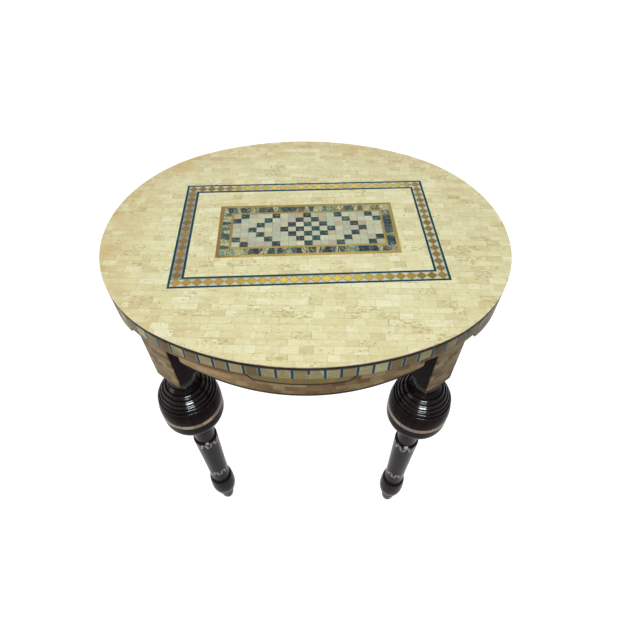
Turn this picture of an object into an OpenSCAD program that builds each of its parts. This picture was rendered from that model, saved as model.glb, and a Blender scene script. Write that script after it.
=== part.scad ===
// Oval side table with mother of pearl inlay, a square block and a turned leg at each corner.
// The floor is z = 0, the long side of the top runs along X and the front faces -Y.

/* [Top] */
// Length of the oval top
top_length = 570; // [540:2:640]
// Width of the oval top
top_width = 468; // [450:2:490]
// How much smaller the radius of the oval's two ends is than half the top's width
end_less = 16; // [12:1:34]
// Height of the top's upper face above the floor
top_height = 600; // [560:5:680]
// Thickness of the wooden board
board_t = 28; // [22:1:34]
// Thickness of every piece of shell, string and metal inlay on the top and the edge
shell_t = 1.5; // [1:0.1:2.5]
// Thickness of the black string under the upper face
rim_h = 4; // [3:0.5:6]
// Depth of the black string into the board
rim_d = 3; // [2:0.5:5]

/* [Edge bars] */
// Number of blue bars round the edge
bar_n = 88; // [70:2:110]
// Width of a blue bar
bar_w = 3.2; // [2:0.1:5]
// Height of a blue bar
bar_h = 18.5; // [14:0.5:20]
// Height of the one bar that is shorter
short_bar_h = 9; // [6:0.5:12]

/* [Border on the top] */
// Turn of the whole rectangular inlay on the oval, in degrees
inlay_turn = 3.7; // [0:0.5:6]
// Distance of the inlay's middle from the oval's middle along X
inlay_x = 1.5; // [0:0.1:5]
// Distance of the inlay's middle from the oval's middle along Y
inlay_y = 2; // [0:0.1:5]
// Outer length of the border
border_l = 365; // [340:1:380]
// Outer width of the border
border_w = 219; // [200:1:230]
// Width of the border over both strings
border_band = 19.5; // [16:0.5:24]
// Width of a blue string
string_w = 3.2; // [2:0.1:4.5]
// Number of diamonds along a long side
diamonds_long = 26; // [20:1:30]
// Number of diamonds along a short side
diamonds_short = 14; // [10:1:18]
// Gap between the points of two diamonds, and between a point and a string
tip_gap = 0.6; // [0.4:0.1:1.5]

/* [Centre panel] */
// Outer length of the panel
panel_l = 253; // [230:1:270]
// Outer width of the panel
panel_w = 111; // [96:1:130]
// Width of the outer gold frame
frame_w = 5; // [3:0.5:7]
// Width of the abalone border between the gold frames
abalone_w = 11.7; // [9:0.1:14]
// Mean length of one abalone piece
abalone_l = 6.5; // [5:0.5:14]
// How far the cut between two abalone pieces leans, one cut to the left and the next to the right
abalone_lean = 2.2; // [0:0.2:4]
// Width of the inner gold frame
inner_frame_w = 3.5; // [2:0.5:5]
// Columns of the checker field
columns = 19; // [15:2:23]
// Rows of the checker field
rows = 7; // [5:2:9]
// Joint between two small inlay pieces
joint_gap = 0.25; // [0.1:0.05:0.5]

/* [Aprons] */
// Thickness of an apron's wood
apron_t = 18; // [14:1:24]
// Depth of an apron below the board, in its middle
apron_h = 32.5; // [30:0.5:50]
// Radius of an apron's lower edge, as seen from the front
apron_edge_r = 568; // [500:4:800]
// Height of the wooden lip under the pearl facing
lip_h = 2; // [1:0.5:4]
// Width of the notch between an apron's end and the leg block
notch_w = 20; // [12:1:30]
// Radius of the rounded corner at an apron's end
notch_r = 10; // [6:1:12]
// Distance of a tenon behind the apron's face
tenon_in = 7; // [5:0.5:9]
// Thickness of a tenon
tenon_t = 9; // [6:0.5:12]
// Height of a tenon
tenon_h = 12; // [10:0.5:16]
// Length of a tenon inside the leg block
tenon_l = 12; // [8:0.5:14]
// Clearance round a tenon in its mortise
tenon_gap = 0.1; // [0.05:0.05:0.3]

/* [Inlay on the front apron] */
// Number of bays between two blue bars over the diamond strip
strip_bays = 7; // [5:2:9]
// Distance that each end of the strip slants inwards over its height
strip_slant = 11; // [4:0.5:14]
// Height of the diamond strip in its middle
strip_h = 13; // [12:0.5:18]
// Width of the black string round the strip
strip_string_w = 2.2; // [1:0.1:3]
// Number of diamonds in the strip
strip_diamonds = 9; // [7:1:13]

/* [Legs] */
// Angle of a leg from the front, about the centre of the oval's end
leg_angle = 32.5; // [31:0.5:36]
// Width and depth of a leg's square block
block_w = 41.5; // [38:0.5:44]
// Height of a leg's square block
block_h = 84; // [70:1:100]
// Diameter of the collar between the block and the dome
collar_d = 40; // [34:1:44]
// Height of the collar
collar_h = 24; // [20:1:28]
// Distance from the block down to the foot of the dome
dome_h = 80; // [70:1:90]
// Radius of the dome's outline
dome_r = 72; // [70:1:110]
// Largest diameter of the drum under the dome
drum_d = 92; // [84:1:100]
// Height of the drum's straight side
drum_h = 23; // [16:1:30]
// Radius of the curve from the drum's side to the neck
belly_r = 28; // [24:1:29]
// Diameter of the neck
neck_d = 34; // [30:1:36]
// Number of fine beads on the dome
bead_n = 5; // [3:1:6]
// Radius of a fine bead
bead_r = 3; // [2.6:0.1:3.8]
// Distance from the block down to the first bead
bead_drop = 31; // [24:1:36]
// Distance from the block down to the upper zigzag band
upper_band_drop = 202; // [196:1:216]
// Distance from the block down to the lower zigzag band
lower_band_drop = 327; // [300:1:340]
// Height of a zigzag band
band_h = 15; // [10:0.5:18]
// Shaft diameter at the upper zigzag band
shaft_top_d = 39.8; // [36:0.2:42]
// Shaft diameter at the lower zigzag band
shaft_end_d = 35.4; // [30:0.2:37]
// Distance from the block down to the top of the acorn foot
acorn_top_drop = 370; // [362:1:378]
// Distance from the block down to the acorn's widest part
acorn_drop = 411; // [402:1:418]
// Largest diameter of the acorn
acorn_d = 46; // [42:1:54]
// Height of the peg under the acorn
peg_h = 34; // [28:1:42]
// Diameter of the peg at the acorn
peg_d = 30; // [26:1:34]
// Diameter of the peg at its rounded end
peg_end_d = 24; // [22:1:26]

/* [Shell bands on the legs] */
// Height of the plain pearl ring on the drum
ring_h = 8.5; // [6:0.5:12]
// Distance of the pearl ring below the foot of the dome
ring_drop = 1; // [0.5:0.5:3]
// Depth of the shell pieces into the leg
ring_d = 1.2; // [0.8:0.1:2]
// Zigzag points round a leg
zigzag_n = 8; // [6:1:12]
// Width of a zigzag stroke
stroke_w = 4.2; // [3:0.1:5]

/* [Fixings] */
// Diameter of a wood screw's shank
screw_d = 4.5; // [3.5:0.5:5]
// Length of a wood screw
screw_l = 65; // [55:1:75]
// Diameter of a screw head
screw_head_d = 9; // [8:0.5:10]
// Height of a screw's countersunk head
screw_head_h = 3; // [2:0.5:4]
// Distance of the two screws from the leg's axis, inwards and to each side
screw_off = 9; // [7:0.5:11]
// Diameter of a foot glide
glide_d = 19; // [16:1:22]
// Height of a foot glide
glide_h = 3; // [2:0.5:5]
// Diameter of a glide's nail
nail_d = 2.4; // [2:0.1:3]
// Length of a glide's nail
nail_l = 15; // [10:1:20]
// Length of a glue block
glue_l = 40; // [30:1:60]
// Width and height of a glue block
glue_w = 18; // [14:1:22]
// Distance of a glue block from the middle of its apron
glue_off = 70; // [50:1:90]

/* [Hidden] */
$fn = 96;

// The oval is four arcs: two ends of end_r and two long sides of side_r, which meet tangent
half_l = top_length / 2;
half_w = top_width / 2;
end_r = half_w - end_less;
end_c = half_l - end_r;
side_r = (end_c * end_c + half_w * half_w - end_r * end_r) / (2 * (half_w - end_r));
side_c = side_r - half_w;
joint_angle = atan2(end_c, side_c);

// Heights above the floor
board_top = top_height - shell_t;
board_bottom = board_top - board_t;
bar_top = board_top - rim_h;
bar_bottom = bar_top - bar_h;
apron_bottom = board_bottom - apron_h;
block_bottom = board_bottom - block_h;
drum_top = block_bottom - dome_h;
drum_bottom = drum_top - drum_h;
neck_top = drum_bottom - belly_r;
upper_band = block_bottom - upper_band_drop;
lower_band = block_bottom - lower_band_drop;
acorn_top = block_bottom - acorn_top_drop;
acorn_mid = block_bottom - acorn_drop;
peg_top = glide_h + peg_h;

// Inlay on the top
channel_w = border_band - 2 * string_w;
field_l = panel_l - 2 * (frame_w + abalone_w + inner_frame_w);
field_w = panel_w - 2 * (frame_w + abalone_w + inner_frame_w);
cell_l = field_l / columns;
cell_w = field_w / rows;
// Distances from the centre cell, in steps along the two sides, at which a cell is dark
dark_steps = [1, 3, 7, 11];

// Large enough to reach past the table in a cut
far = 2 * top_length;
// How far a cutter reaches past the face that it cuts
over = 5;
// How far an apron's rounded corner is set below the height where it would just touch the lower edge
corner_dip = 0.15;
// How much wider the acorn's cup starts than the shaft above it
cup_flare = 7;

dark_wood = [0.07, 0.05, 0.05];
black = [0.03, 0.03, 0.03];
pearl = [0.88, 0.84, 0.62];
pearl_brown = [0.62, 0.55, 0.40];
pale_shell = [0.80, 0.77, 0.72];
blue = [0.07, 0.22, 0.32];
gold = [0.70, 0.56, 0.20];
abalone = [0.15, 0.40, 0.38];
steel = [0.6, 0.6, 0.62];
nylon = [0.45, 0.45, 0.45];

// The oval, with every arc moved inwards by inset
module oval(inset = 0) {
    side_x = (side_r - inset) * sin(joint_angle);
    intersection() {
        translate([0, side_c]) circle(r = side_r - inset, $fn = 360);
        translate([0, -side_c]) circle(r = side_r - inset, $fn = 360);
        square([2 * side_x, far], center = true);
    }
    for (side = [-1, 1]) {
        translate([side * end_c, 0]) circle(r = end_r - inset, $fn = 360);
    }
}

// A ring that follows the oval between two insets
module oval_ring(inset, depth, bottom, height) {
    translate([0, 0, bottom]) linear_extrude(height) difference() {
        oval(inset);
        oval(inset + depth);
    }
}

// Thickness of the inlay, laid on the board
module on_board() {
    translate([0, 0, board_top]) linear_extrude(shell_t) children();
}

// The place of the rectangular inlay on the board
module inlay_place() {
    translate([inlay_x, inlay_y]) rotate(inlay_turn) children();
}

module frame_outline(length, width, band) {
    difference() {
        square([length, width], center = true);
        square([length - 2 * band, width - 2 * band], center = true);
    }
}

module top_board() {
    color(dark_wood) difference() {
        translate([0, 0, board_bottom]) linear_extrude(board_t) oval(shell_t);
        oval_ring(0, rim_d, board_top - rim_h, rim_h + over);
        each_leg() screws_in_leg();
    }
}

module rim_string() {
    color(black) oval_ring(0, rim_d, board_top - rim_h, rim_h);
}

module top_pearl_field() {
    color(pearl) on_board() difference() {
        oval();
        inlay_place() square([border_l, border_w], center = true);
    }
}

module border_outer_string() {
    color(blue) on_board() inlay_place() frame_outline(border_l, border_w, string_w);
}

module border_inner_string() {
    inner = 2 * (border_band - string_w);
    color(blue) on_board() inlay_place()
        frame_outline(border_l - inner, border_w - inner, string_w);
}

module diamond(length, width) {
    polygon([[-length / 2, 0], [0, -width / 2], [length / 2, 0], [0, width / 2]]);
}

// Diamonds point to point: long rows over the corners, short rows between them
module diamond_rows() {
    row_l = border_l - 2 * string_w;
    row_w = border_w - 2 * (string_w + channel_w);
    pitch_l = row_l / diamonds_long;
    pitch_w = row_w / diamonds_short;
    for (side = [-1, 1]) {
        for (i = [0 : diamonds_long - 1]) {
            translate([(i + 0.5) * pitch_l - row_l / 2, side * (border_w / 2 - border_band / 2)])
                diamond(pitch_l - tip_gap, channel_w - tip_gap);
        }
        for (i = [0 : diamonds_short - 1]) {
            translate([side * (border_l / 2 - border_band / 2), (i + 0.5) * pitch_w - row_w / 2])
                diamond(channel_w - tip_gap, pitch_w - tip_gap);
        }
    }
}

module border_diamonds() {
    color(gold) on_board() inlay_place() diamond_rows();
}

module border_ground() {
    color(pearl) on_board() inlay_place() difference() {
        frame_outline(border_l - 2 * string_w, border_w - 2 * string_w, channel_w);
        diamond_rows();
    }
}

module inner_pearl_field() {
    color(pearl) on_board() inlay_place() difference() {
        square([border_l - 2 * border_band, border_w - 2 * border_band], center = true);
        square([panel_l, panel_w], center = true);
    }
}

module panel_outer_frame() {
    color(gold) on_board() inlay_place() frame_outline(panel_l, panel_w, frame_w);
}

module panel_inner_frame() {
    outside = 2 * (frame_w + abalone_w);
    color(gold) on_board() inlay_place()
        frame_outline(panel_l - outside, panel_w - outside, inner_frame_w);
}

// Lean of one of the cuts between the abalone pieces of a row; the two ends are square
function cut_lean(cut, count) =
    cut == 0 || cut == count ? 0 : (cut % 2 == 0 ? 1 : -1) * abalone_lean / 2;

// Short abalone pieces side by side: two rows over the corners, two rows between them
module abalone_row(length, across) {
    count = round(length / abalone_l);
    pitch = length / count;
    for (i = [0 : count - 1]) {
        left = i * pitch - length / 2 + joint_gap / 2;
        right = left + pitch - joint_gap;
        left_lean = cut_lean(i, count);
        right_lean = cut_lean(i + 1, count);
        polygon([
            [left - left_lean, -across / 2], [right - right_lean, -across / 2],
            [right + right_lean, across / 2], [left + left_lean, across / 2]
        ]);
    }
}

module panel_abalone_border() {
    outer_l = panel_l - 2 * frame_w;
    outer_w = panel_w - 2 * frame_w;
    color(abalone) on_board() inlay_place() for (side = [-1, 1]) {
        translate([0, side * (outer_w - abalone_w) / 2]) abalone_row(outer_l, abalone_w);
        translate([side * (outer_l - abalone_w) / 2, 0]) rotate(90)
            abalone_row(outer_w - 2 * abalone_w, abalone_w);
    }
}

function steps_from_centre(column, row) =
    abs(column - (columns - 1) / 2) + abs(row - (rows - 1) / 2);
function is_dark(column, row) =
    len(search(steps_from_centre(column, row), dark_steps)) > 0;

module checker_cells(dark) {
    inlay_place() for (column = [0 : columns - 1], row = [0 : rows - 1]) {
        if (is_dark(column, row) == dark) {
            translate([(column + 0.5) * cell_l - field_l / 2, (row + 0.5) * cell_w - field_w / 2])
                square([cell_l - joint_gap, cell_w - joint_gap], center = true);
        }
    }
}

module checker_light_cells() {
    color(pale_shell) on_board() checker_cells(false);
}

module checker_dark_cells() {
    color(abalone) on_board() checker_cells(true);
}

// Arc lengths of one quarter of the oval: a long side's half, then an end's half
quarter_side = side_r * joint_angle * PI / 180;
quarter_end = end_r * (90 - joint_angle) * PI / 180;
perimeter = 4 * (quarter_side + quarter_end);
bar_pitch = perimeter / bar_n;

// Puts its child on the oval's edge, facing -Y, at a distance from the front's middle
module on_edge(distance) {
    side = distance < 0 ? -1 : 1;
    half = 2 * (quarter_side + quarter_end);
    from_front = abs(distance);
    back = from_front > half / 2;
    along = back ? half - from_front : from_front;
    mirror([side < 0 ? 1 : 0, 0]) mirror([0, back ? 1 : 0]) {
        if (along <= quarter_side) {
            translate([0, side_c]) rotate(along / side_r * 180 / PI)
                translate([0, -side_r]) children();
        } else {
            translate([end_c, 0]) rotate(joint_angle + (along - quarter_side) / end_r * 180 / PI)
                translate([0, -end_r]) children();
        }
    }
}

module bar_shape(height) {
    translate([-bar_w / 2, -over, bar_top - height]) cube([bar_w, 2 * over, height]);
}

// Bars stand half a pitch either side of the front's middle, and the first on the right is short
module bars_in_edge() {
    intersection() {
        oval_ring(0, shell_t, bar_bottom, bar_h);
        for (i = [0 : bar_n - 1]) {
            on_edge((i + 0.5 - bar_n / 2) * bar_pitch)
                bar_shape(i == bar_n / 2 ? short_bar_h : bar_h);
        }
    }
}

// The strip on the front reaches over whole bays, from the foot of one bar to another
strip_l = strip_bays * bar_pitch;

// How far an arc has curved away at a distance from its middle
function edge_rise(radius, distance) = radius - sqrt(radius * radius - distance * distance);

// Outline of the strip in X and Z, seen from the front: its lower edge follows the apron's
module strip_outline(inset = 0) {
    slope = strip_slant / strip_h;
    side = inset * norm([slope, 1]);
    top_x = strip_l / 2 - side;
    low_x = top_x - slope * (strip_h + over);
    intersection() {
        polygon([[-top_x, 0], [top_x, 0], [low_x, -strip_h - over], [-low_x, -strip_h - over]]);
        translate([0, apron_edge_r - strip_h]) circle(r = apron_edge_r - inset, $fn = 360);
    }
}

// Sets a drawing in X and Z through the edge's shell at the front
module in_front_edge() {
    intersection() {
        oval_ring(0, shell_t, bar_bottom - strip_h - over, strip_h + over);
        translate([0, 0, bar_bottom]) rotate([90, 0, 0])
            linear_extrude(half_w + over) children();
    }
}

module strip_in_edge() {
    in_front_edge() strip_outline();
}

module edge_pearl_band() {
    color(pearl_brown) difference() {
        oval_ring(0, shell_t, board_bottom, bar_top - board_bottom);
        bars_in_edge();
        strip_in_edge();
    }
}

module edge_bars() {
    color(blue) bars_in_edge();
}

module strip_diamond_row() {
    row_l = strip_l - 2 * strip_slant;
    pitch = row_l / strip_diamonds;
    for (i = [0 : strip_diamonds - 1]) {
        x = (i + 0.5) * pitch - row_l / 2;
        height = strip_h - strip_string_w - edge_rise(apron_edge_r, x);
        translate([x, -height / 2]) diamond(pitch - tip_gap, height - tip_gap);
    }
}

module front_strip_string() {
    color(black) in_front_edge() difference() {
        strip_outline();
        strip_outline(strip_string_w);
    }
}

module front_strip_diamonds() {
    color(gold) in_front_edge() strip_diamond_row();
}

module front_strip_ground() {
    color(pearl) in_front_edge() difference() {
        strip_outline(strip_string_w);
        strip_diamond_row();
    }
}

// Plan of the space between the two front legs, and of the space between the right legs
module front_sector() {
    reach_x = end_c + far * sin(leg_angle);
    reach_y = -far * cos(leg_angle);
    polygon([[end_c, 0], [reach_x, reach_y], [-reach_x, reach_y], [-end_c, 0]]);
}

module right_sector() {
    reach_x = end_c + far * sin(leg_angle);
    reach_y = far * cos(leg_angle);
    polygon([[end_c, 0], [reach_x, -reach_y], [end_c + 2 * far, 0], [reach_x, reach_y]]);
}

// Each leg's axis, with -Y pointing out through the block's pearl face
module leg_place(right, back) {
    mirror([right ? 0 : 1, 0, 0]) mirror([0, back ? 1 : 0, 0])
        translate([end_c, 0, 0]) rotate([0, 0, leg_angle])
            translate([0, block_w / 2 - end_r, 0]) children();
}

module each_leg() {
    for (right = [false, true], back = [false, true]) {
        leg_place(right, back) children();
    }
}

// A leg's plan widened to both sides, to cut the aprons with
module leg_zone(half_width, bottom, height) {
    translate([-half_width, -block_w, bottom]) cube([2 * half_width, 2 * block_w, height]);
}

// Height of the centre of an apron's rounded corner, at a distance from the apron's middle
function corner_height(distance) =
    apron_bottom + apron_edge_r - sqrt(pow(apron_edge_r - notch_r, 2) - distance * distance) - corner_dip;

// Rounds the lower corner of an apron's end on both sides of a leg, up to where the round
// meets the apron's lower edge
module notch_corners(distance) {
    end_x = block_w / 2 + notch_w;
    corner_z = corner_height(distance);
    reach = notch_r * (1 - distance / (apron_edge_r - notch_r));
    for (side = [-1, 1]) {
        mirror([side < 0 ? 1 : 0, 0, 0]) difference() {
            translate([end_x - over, -block_w, corner_z - apron_h])
                cube([reach + over, 2 * block_w, apron_h]);
            translate([end_x + notch_r, block_w + over, corner_z]) rotate([90, 0, 0])
                cylinder(r = notch_r, h = 2 * (block_w + over));
        }
    }
}

// An apron's outline seen from its side, with the lower edge a shallow arc
module apron_outline(length, lip, above = 0) {
    intersection() {
        translate([0, apron_bottom + lip + apron_edge_r]) circle(r = apron_edge_r, $fn = 360);
        translate([-length / 2, apron_bottom - over]) square([length, apron_h + over + above]);
    }
}

// A plan drawn through the whole height of the aprons, and a little more
module through_aprons() {
    translate([0, 0, apron_bottom - over]) linear_extrude(apron_h + 2 * over) children();
}

// Everything outside the inner face of the pearl facing
module outside_facing() {
    through_aprons() difference() {
        square(far, center = true);
        oval(shell_t);
    }
}

// Distance of a rounded corner's centre from the middle of the front and of the side
corner_turn = (block_w / 2 + notch_w + notch_r) / end_r * 180 / PI;
corner_x = end_c + (end_r - apron_t / 2) * sin(leg_angle - corner_turn);
corner_y = (end_r - apron_t / 2) * cos(leg_angle + corner_turn);

// The front apron's solid between two insets; the lip raises its lower edge
module front_apron_solid(inset, depth, lip) {
    difference() {
        intersection() {
            oval_ring(inset, depth, apron_bottom - over, apron_h + over);
            through_aprons() front_sector();
            rotate([90, 0, 0]) linear_extrude(top_width) apron_outline(top_length, lip);
        }
        for (right = [false, true]) {
            leg_place(right, false) {
                leg_zone(block_w / 2 + notch_w, apron_bottom - over, apron_h + 2 * over);
                notch_corners(corner_x);
            }
        }
    }
}

module right_apron_solid(inset, depth, lip) {
    difference() {
        intersection() {
            oval_ring(inset, depth, apron_bottom - over, apron_h + over);
            through_aprons() right_sector();
            rotate([90, 0, 90]) linear_extrude(top_length) apron_outline(top_width, lip);
        }
        for (back = [false, true]) {
            leg_place(true, back) {
                leg_zone(block_w / 2 + notch_w, apron_bottom - over, apron_h + 2 * over);
                notch_corners(corner_y);
            }
        }
    }
}

// The tongue that runs behind the notches into the leg blocks
module tenon_ring(gap) {
    oval_ring(shell_t + tenon_in - gap, tenon_t + 2 * gap,
        board_bottom - tenon_h - gap, tenon_h + gap);
}

module front_tenons() {
    difference() {
        intersection() {
            tenon_ring(0);
            translate([0, 0, board_bottom - tenon_h]) linear_extrude(tenon_h) front_sector();
        }
        for (right = [false, true]) {
            leg_place(right, false)
                leg_zone(block_w / 2 - tenon_l, board_bottom - tenon_h - over, tenon_h + 2 * over);
        }
    }
}

module right_tenons() {
    difference() {
        intersection() {
            tenon_ring(0);
            translate([0, 0, board_bottom - tenon_h]) linear_extrude(tenon_h) right_sector();
        }
        for (back = [false, true]) {
            leg_place(true, back)
                leg_zone(block_w / 2 - tenon_l, board_bottom - tenon_h - over, tenon_h + 2 * over);
        }
    }
}

module front_apron_wood() {
    color(dark_wood) difference() {
        union() {
            front_apron_solid(0, shell_t + apron_t, 0);
            front_tenons();
        }
        intersection() {
            outside_facing();
            through_aprons() front_sector();
            rotate([90, 0, 0]) linear_extrude(far) apron_outline(far, lip_h, over);
        }
    }
}

module right_apron_wood() {
    color(dark_wood) difference() {
        union() {
            right_apron_solid(0, shell_t + apron_t, 0);
            right_tenons();
        }
        intersection() {
            outside_facing();
            through_aprons() right_sector();
            rotate([90, 0, 90]) linear_extrude(far) apron_outline(far, lip_h, over);
        }
    }
}

module apron_front() {
    front_apron_wood();
}

module apron_back() {
    mirror([0, 1, 0]) front_apron_wood();
}

module apron_right() {
    right_apron_wood();
}

module apron_left() {
    mirror([1, 0, 0]) right_apron_wood();
}

module apron_front_pearl() {
    color(pearl_brown) difference() {
        front_apron_solid(0, shell_t, lip_h);
        strip_in_edge();
    }
}

module apron_back_pearl() {
    color(pearl_brown) mirror([0, 1, 0]) front_apron_solid(0, shell_t, lip_h);
}

module apron_right_pearl() {
    color(pearl_brown) right_apron_solid(0, shell_t, lip_h);
}

module apron_left_pearl() {
    color(pearl_brown) mirror([1, 0, 0]) right_apron_solid(0, shell_t, lip_h);
}

// Half of a swelling in a leg's profile: an arc that is upright where the leg is widest
module swelling(widest_d, arc_r, mid, from, to) {
    intersection() {
        translate([widest_d / 2 - arc_r, mid]) circle(r = arc_r, $fn = 360);
        translate([0, from]) square([widest_d / 2, to - from]);
    }
}

// Radius of an arc that is upright at the widest diameter and narrows to another one
function arc_to(widest_d, narrow_d, drop) =
    (drop * drop + pow((widest_d - narrow_d) / 2, 2)) / (widest_d - narrow_d);

// Radius of the dome at a height
function dome_at(z) = drum_d / 2 - dome_r + sqrt(dome_r * dome_r - pow(z - drum_top, 2));

module dome_profile() {
    swelling(drum_d, dome_r, drum_top, drum_top, block_bottom);
    translate([0, block_bottom - collar_h]) square([collar_d / 2, collar_h]);
    for (i = [0 : bead_n - 1]) {
        z = block_bottom - bead_drop - 2 * i * bead_r;
        translate([dome_at(z) - 0.6 * bead_r, z]) circle(r = bead_r);
    }
}

module shaft_profile() {
    shoulder = 3;
    // Core from the upper band up through the drum and a little way into the block
    translate([0, upper_band]) square([neck_d / 2, block_bottom + over - upper_band]);
    polygon([
        [0, upper_band + shoulder], [neck_d / 2, upper_band + shoulder],
        [shaft_top_d / 2, upper_band], [shaft_top_d / 2, upper_band - band_h],
        [shaft_end_d / 2, lower_band], [shaft_end_d / 2, acorn_top],
        [0, acorn_top]
    ]);
}

module acorn_profile() {
    cup_h = 8;
    cup_d = shaft_end_d + cup_flare;
    cup_z = acorn_top - cup_h;
    polygon([[0, acorn_top], [shaft_end_d / 2, acorn_top], [cup_d / 2, cup_z], [0, cup_z]]);
    swelling(acorn_d, arc_to(acorn_d, cup_d, cup_z - acorn_mid), acorn_mid, acorn_mid, cup_z);
    swelling(acorn_d, arc_to(acorn_d, peg_d, acorn_mid - peg_top), acorn_mid, peg_top, acorn_mid);
}

module peg_profile() {
    round_h = 8;
    round_z = glide_h + round_h;
    polygon([[0, round_z], [peg_end_d / 2, round_z], [peg_d / 2, peg_top], [0, peg_top]]);
    translate([peg_d / 2 - bead_r / 2, peg_top]) circle(r = bead_r);
    swelling(peg_end_d, arc_to(peg_end_d, glide_d, round_h), round_z, glide_h, round_z);
}

module leg_profile() {
    dome_profile();
    translate([0, drum_bottom]) square([drum_d / 2, drum_h]);
    swelling(drum_d, belly_r, drum_bottom, neck_top, drum_bottom);
    translate([0, neck_top]) square([drum_d / 2 - belly_r, belly_r]);
    shaft_profile();
    acorn_profile();
    peg_profile();
}

// Slanted strokes that join at their ends, cut radially from a thin tube
module zigzag_band(diameter, top) {
    half = (PI * diameter / (2 * zigzag_n) + joint_gap) / 2;
    reach = 1;
    slant = reach * (2 * half - stroke_w) / band_h;
    intersection() {
        translate([0, 0, top - band_h]) difference() {
            cylinder(d = diameter, h = band_h);
            translate([0, 0, -over]) cylinder(d = diameter - 2 * ring_d, h = band_h + 2 * over);
        }
        for (i = [0 : 2 * zigzag_n - 1]) {
            rotate([0, 0, i * 180 / zigzag_n]) mirror([i % 2, 0, 0])
                translate([0, 0, top - band_h]) rotate([90, 0, 0])
                    linear_extrude(diameter) polygon([
                        [-half - slant, -reach], [stroke_w - half - slant, -reach],
                        [half + slant, band_h + reach], [half - stroke_w + slant, band_h + reach]
                    ]);
        }
    }
}

module shell_bands() {
    translate([0, 0, drum_top - ring_drop - ring_h]) difference() {
        cylinder(d = drum_d, h = ring_h);
        translate([0, 0, -over]) cylinder(d = drum_d - 2 * ring_d, h = ring_h + 2 * over);
    }
    zigzag_band(shaft_top_d, upper_band);
    zigzag_band(shaft_end_d, lower_band);
}

// Two screws down through the board into a leg's block
module screws_in_leg() {
    for (side = [-1, 1]) {
        translate([side * screw_off, screw_off, board_top - screw_l]) {
            cylinder(d = screw_d, h = screw_l);
            translate([0, 0, screw_l - screw_head_h])
                cylinder(d1 = screw_d, d2 = screw_head_d, h = screw_head_h);
        }
    }
}

module glide_shape() {
    cylinder(d = glide_d, h = glide_h);
    cylinder(d = nail_d, h = glide_h + nail_l);
}

// The block under the board, its outer face curved to carry the pearl
module block_solid() {
    intersection() {
        leg_place(true, false) leg_zone(block_w / 2, block_bottom, block_h);
        translate([0, 0, block_bottom]) linear_extrude(block_h) oval(shell_t);
        leg_place(true, false) translate([-block_w, -block_w, block_bottom])
            cube([2 * block_w, 1.5 * block_w, block_h]);
    }
}

module right_front_leg() {
    color(dark_wood) difference() {
        union() {
            block_solid();
            leg_place(true, false) rotate_extrude() leg_profile();
        }
        difference() {
            tenon_ring(tenon_gap);
            leg_place(true, false)
                leg_zone(block_w / 2 - tenon_l - tenon_gap, board_bottom - tenon_h - over,
                    tenon_h + 2 * over);
        }
        leg_place(true, false) {
            screws_in_leg();
            shell_bands();
            glide_shape();
        }
    }
}

module leg(right, back) {
    mirror([right ? 0 : 1, 0, 0]) mirror([0, back ? 1 : 0, 0]) right_front_leg();
}

module block_pearl(right, back) {
    color(pearl_brown) intersection() {
        oval_ring(0, shell_t, block_bottom, block_h);
        leg_place(right, back) translate([-block_w / 2, -block_w, block_bottom])
            cube([block_w, block_w, block_h]);
    }
}

module leg_shell(right, back) {
    color(pale_shell) leg_place(right, back) shell_bands();
}

module glide(right, back) {
    color(nylon) leg_place(right, back) glide_shape();
}

module board_screws() {
    color(steel) each_leg() screws_in_leg();
}

// A wooden block of triangular section in the corner between an apron and the board
module glue_block_shape() {
    translate([-glue_l / 2, 0, 0]) rotate([90, 0, 90]) linear_extrude(glue_l)
        polygon([[-over, 0], [glue_w, 0], [0, -glue_w], [-over, -glue_w]]);
}

module glue_blocks() {
    inner_face = shell_t + apron_t;
    color(dark_wood) intersection() {
        translate([0, 0, board_bottom - glue_w]) linear_extrude(glue_w) oval(inner_face);
        for (side = [-1, 1], turn = [0, 180]) {
            rotate([0, 0, turn]) {
                translate([side * glue_off, inner_face - half_w + edge_rise(side_r, glue_off), board_bottom])
                    glue_block_shape();
                translate([half_l - inner_face - edge_rise(end_r, glue_off), side * glue_off, board_bottom])
                    rotate([0, 0, 90]) glue_block_shape();
            }
        }
    }
}

top_board();
rim_string();
top_pearl_field();
border_outer_string();
border_inner_string();
border_diamonds();
border_ground();
inner_pearl_field();
panel_outer_frame();
panel_abalone_border();
panel_inner_frame();
checker_light_cells();
checker_dark_cells();
edge_pearl_band();
edge_bars();
apron_front();
apron_back();
apron_left();
apron_right();
apron_front_pearl();
apron_back_pearl();
apron_left_pearl();
apron_right_pearl();
front_strip_string();
front_strip_diamonds();
front_strip_ground();
leg(false, false);  // leg_front_left
leg(true, false);  // leg_front_right
leg(false, true);  // leg_back_left
leg(true, true);  // leg_back_right
block_pearl(false, false);  // block_pearl_front_left
block_pearl(true, false);  // block_pearl_front_right
block_pearl(false, true);  // block_pearl_back_left
block_pearl(true, true);  // block_pearl_back_right
leg_shell(false, false);  // leg_shell_front_left
leg_shell(true, false);  // leg_shell_front_right
leg_shell(false, true);  // leg_shell_back_left
leg_shell(true, true);  // leg_shell_back_right
glide(false, false);  // glide_front_left
glide(true, false);  // glide_front_right
glide(false, true);  // glide_back_left
glide(true, true);  // glide_back_right
board_screws();
glue_blocks();
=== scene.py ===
import math

import bmesh
import bpy
from mathutils import Matrix, Vector


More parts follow.
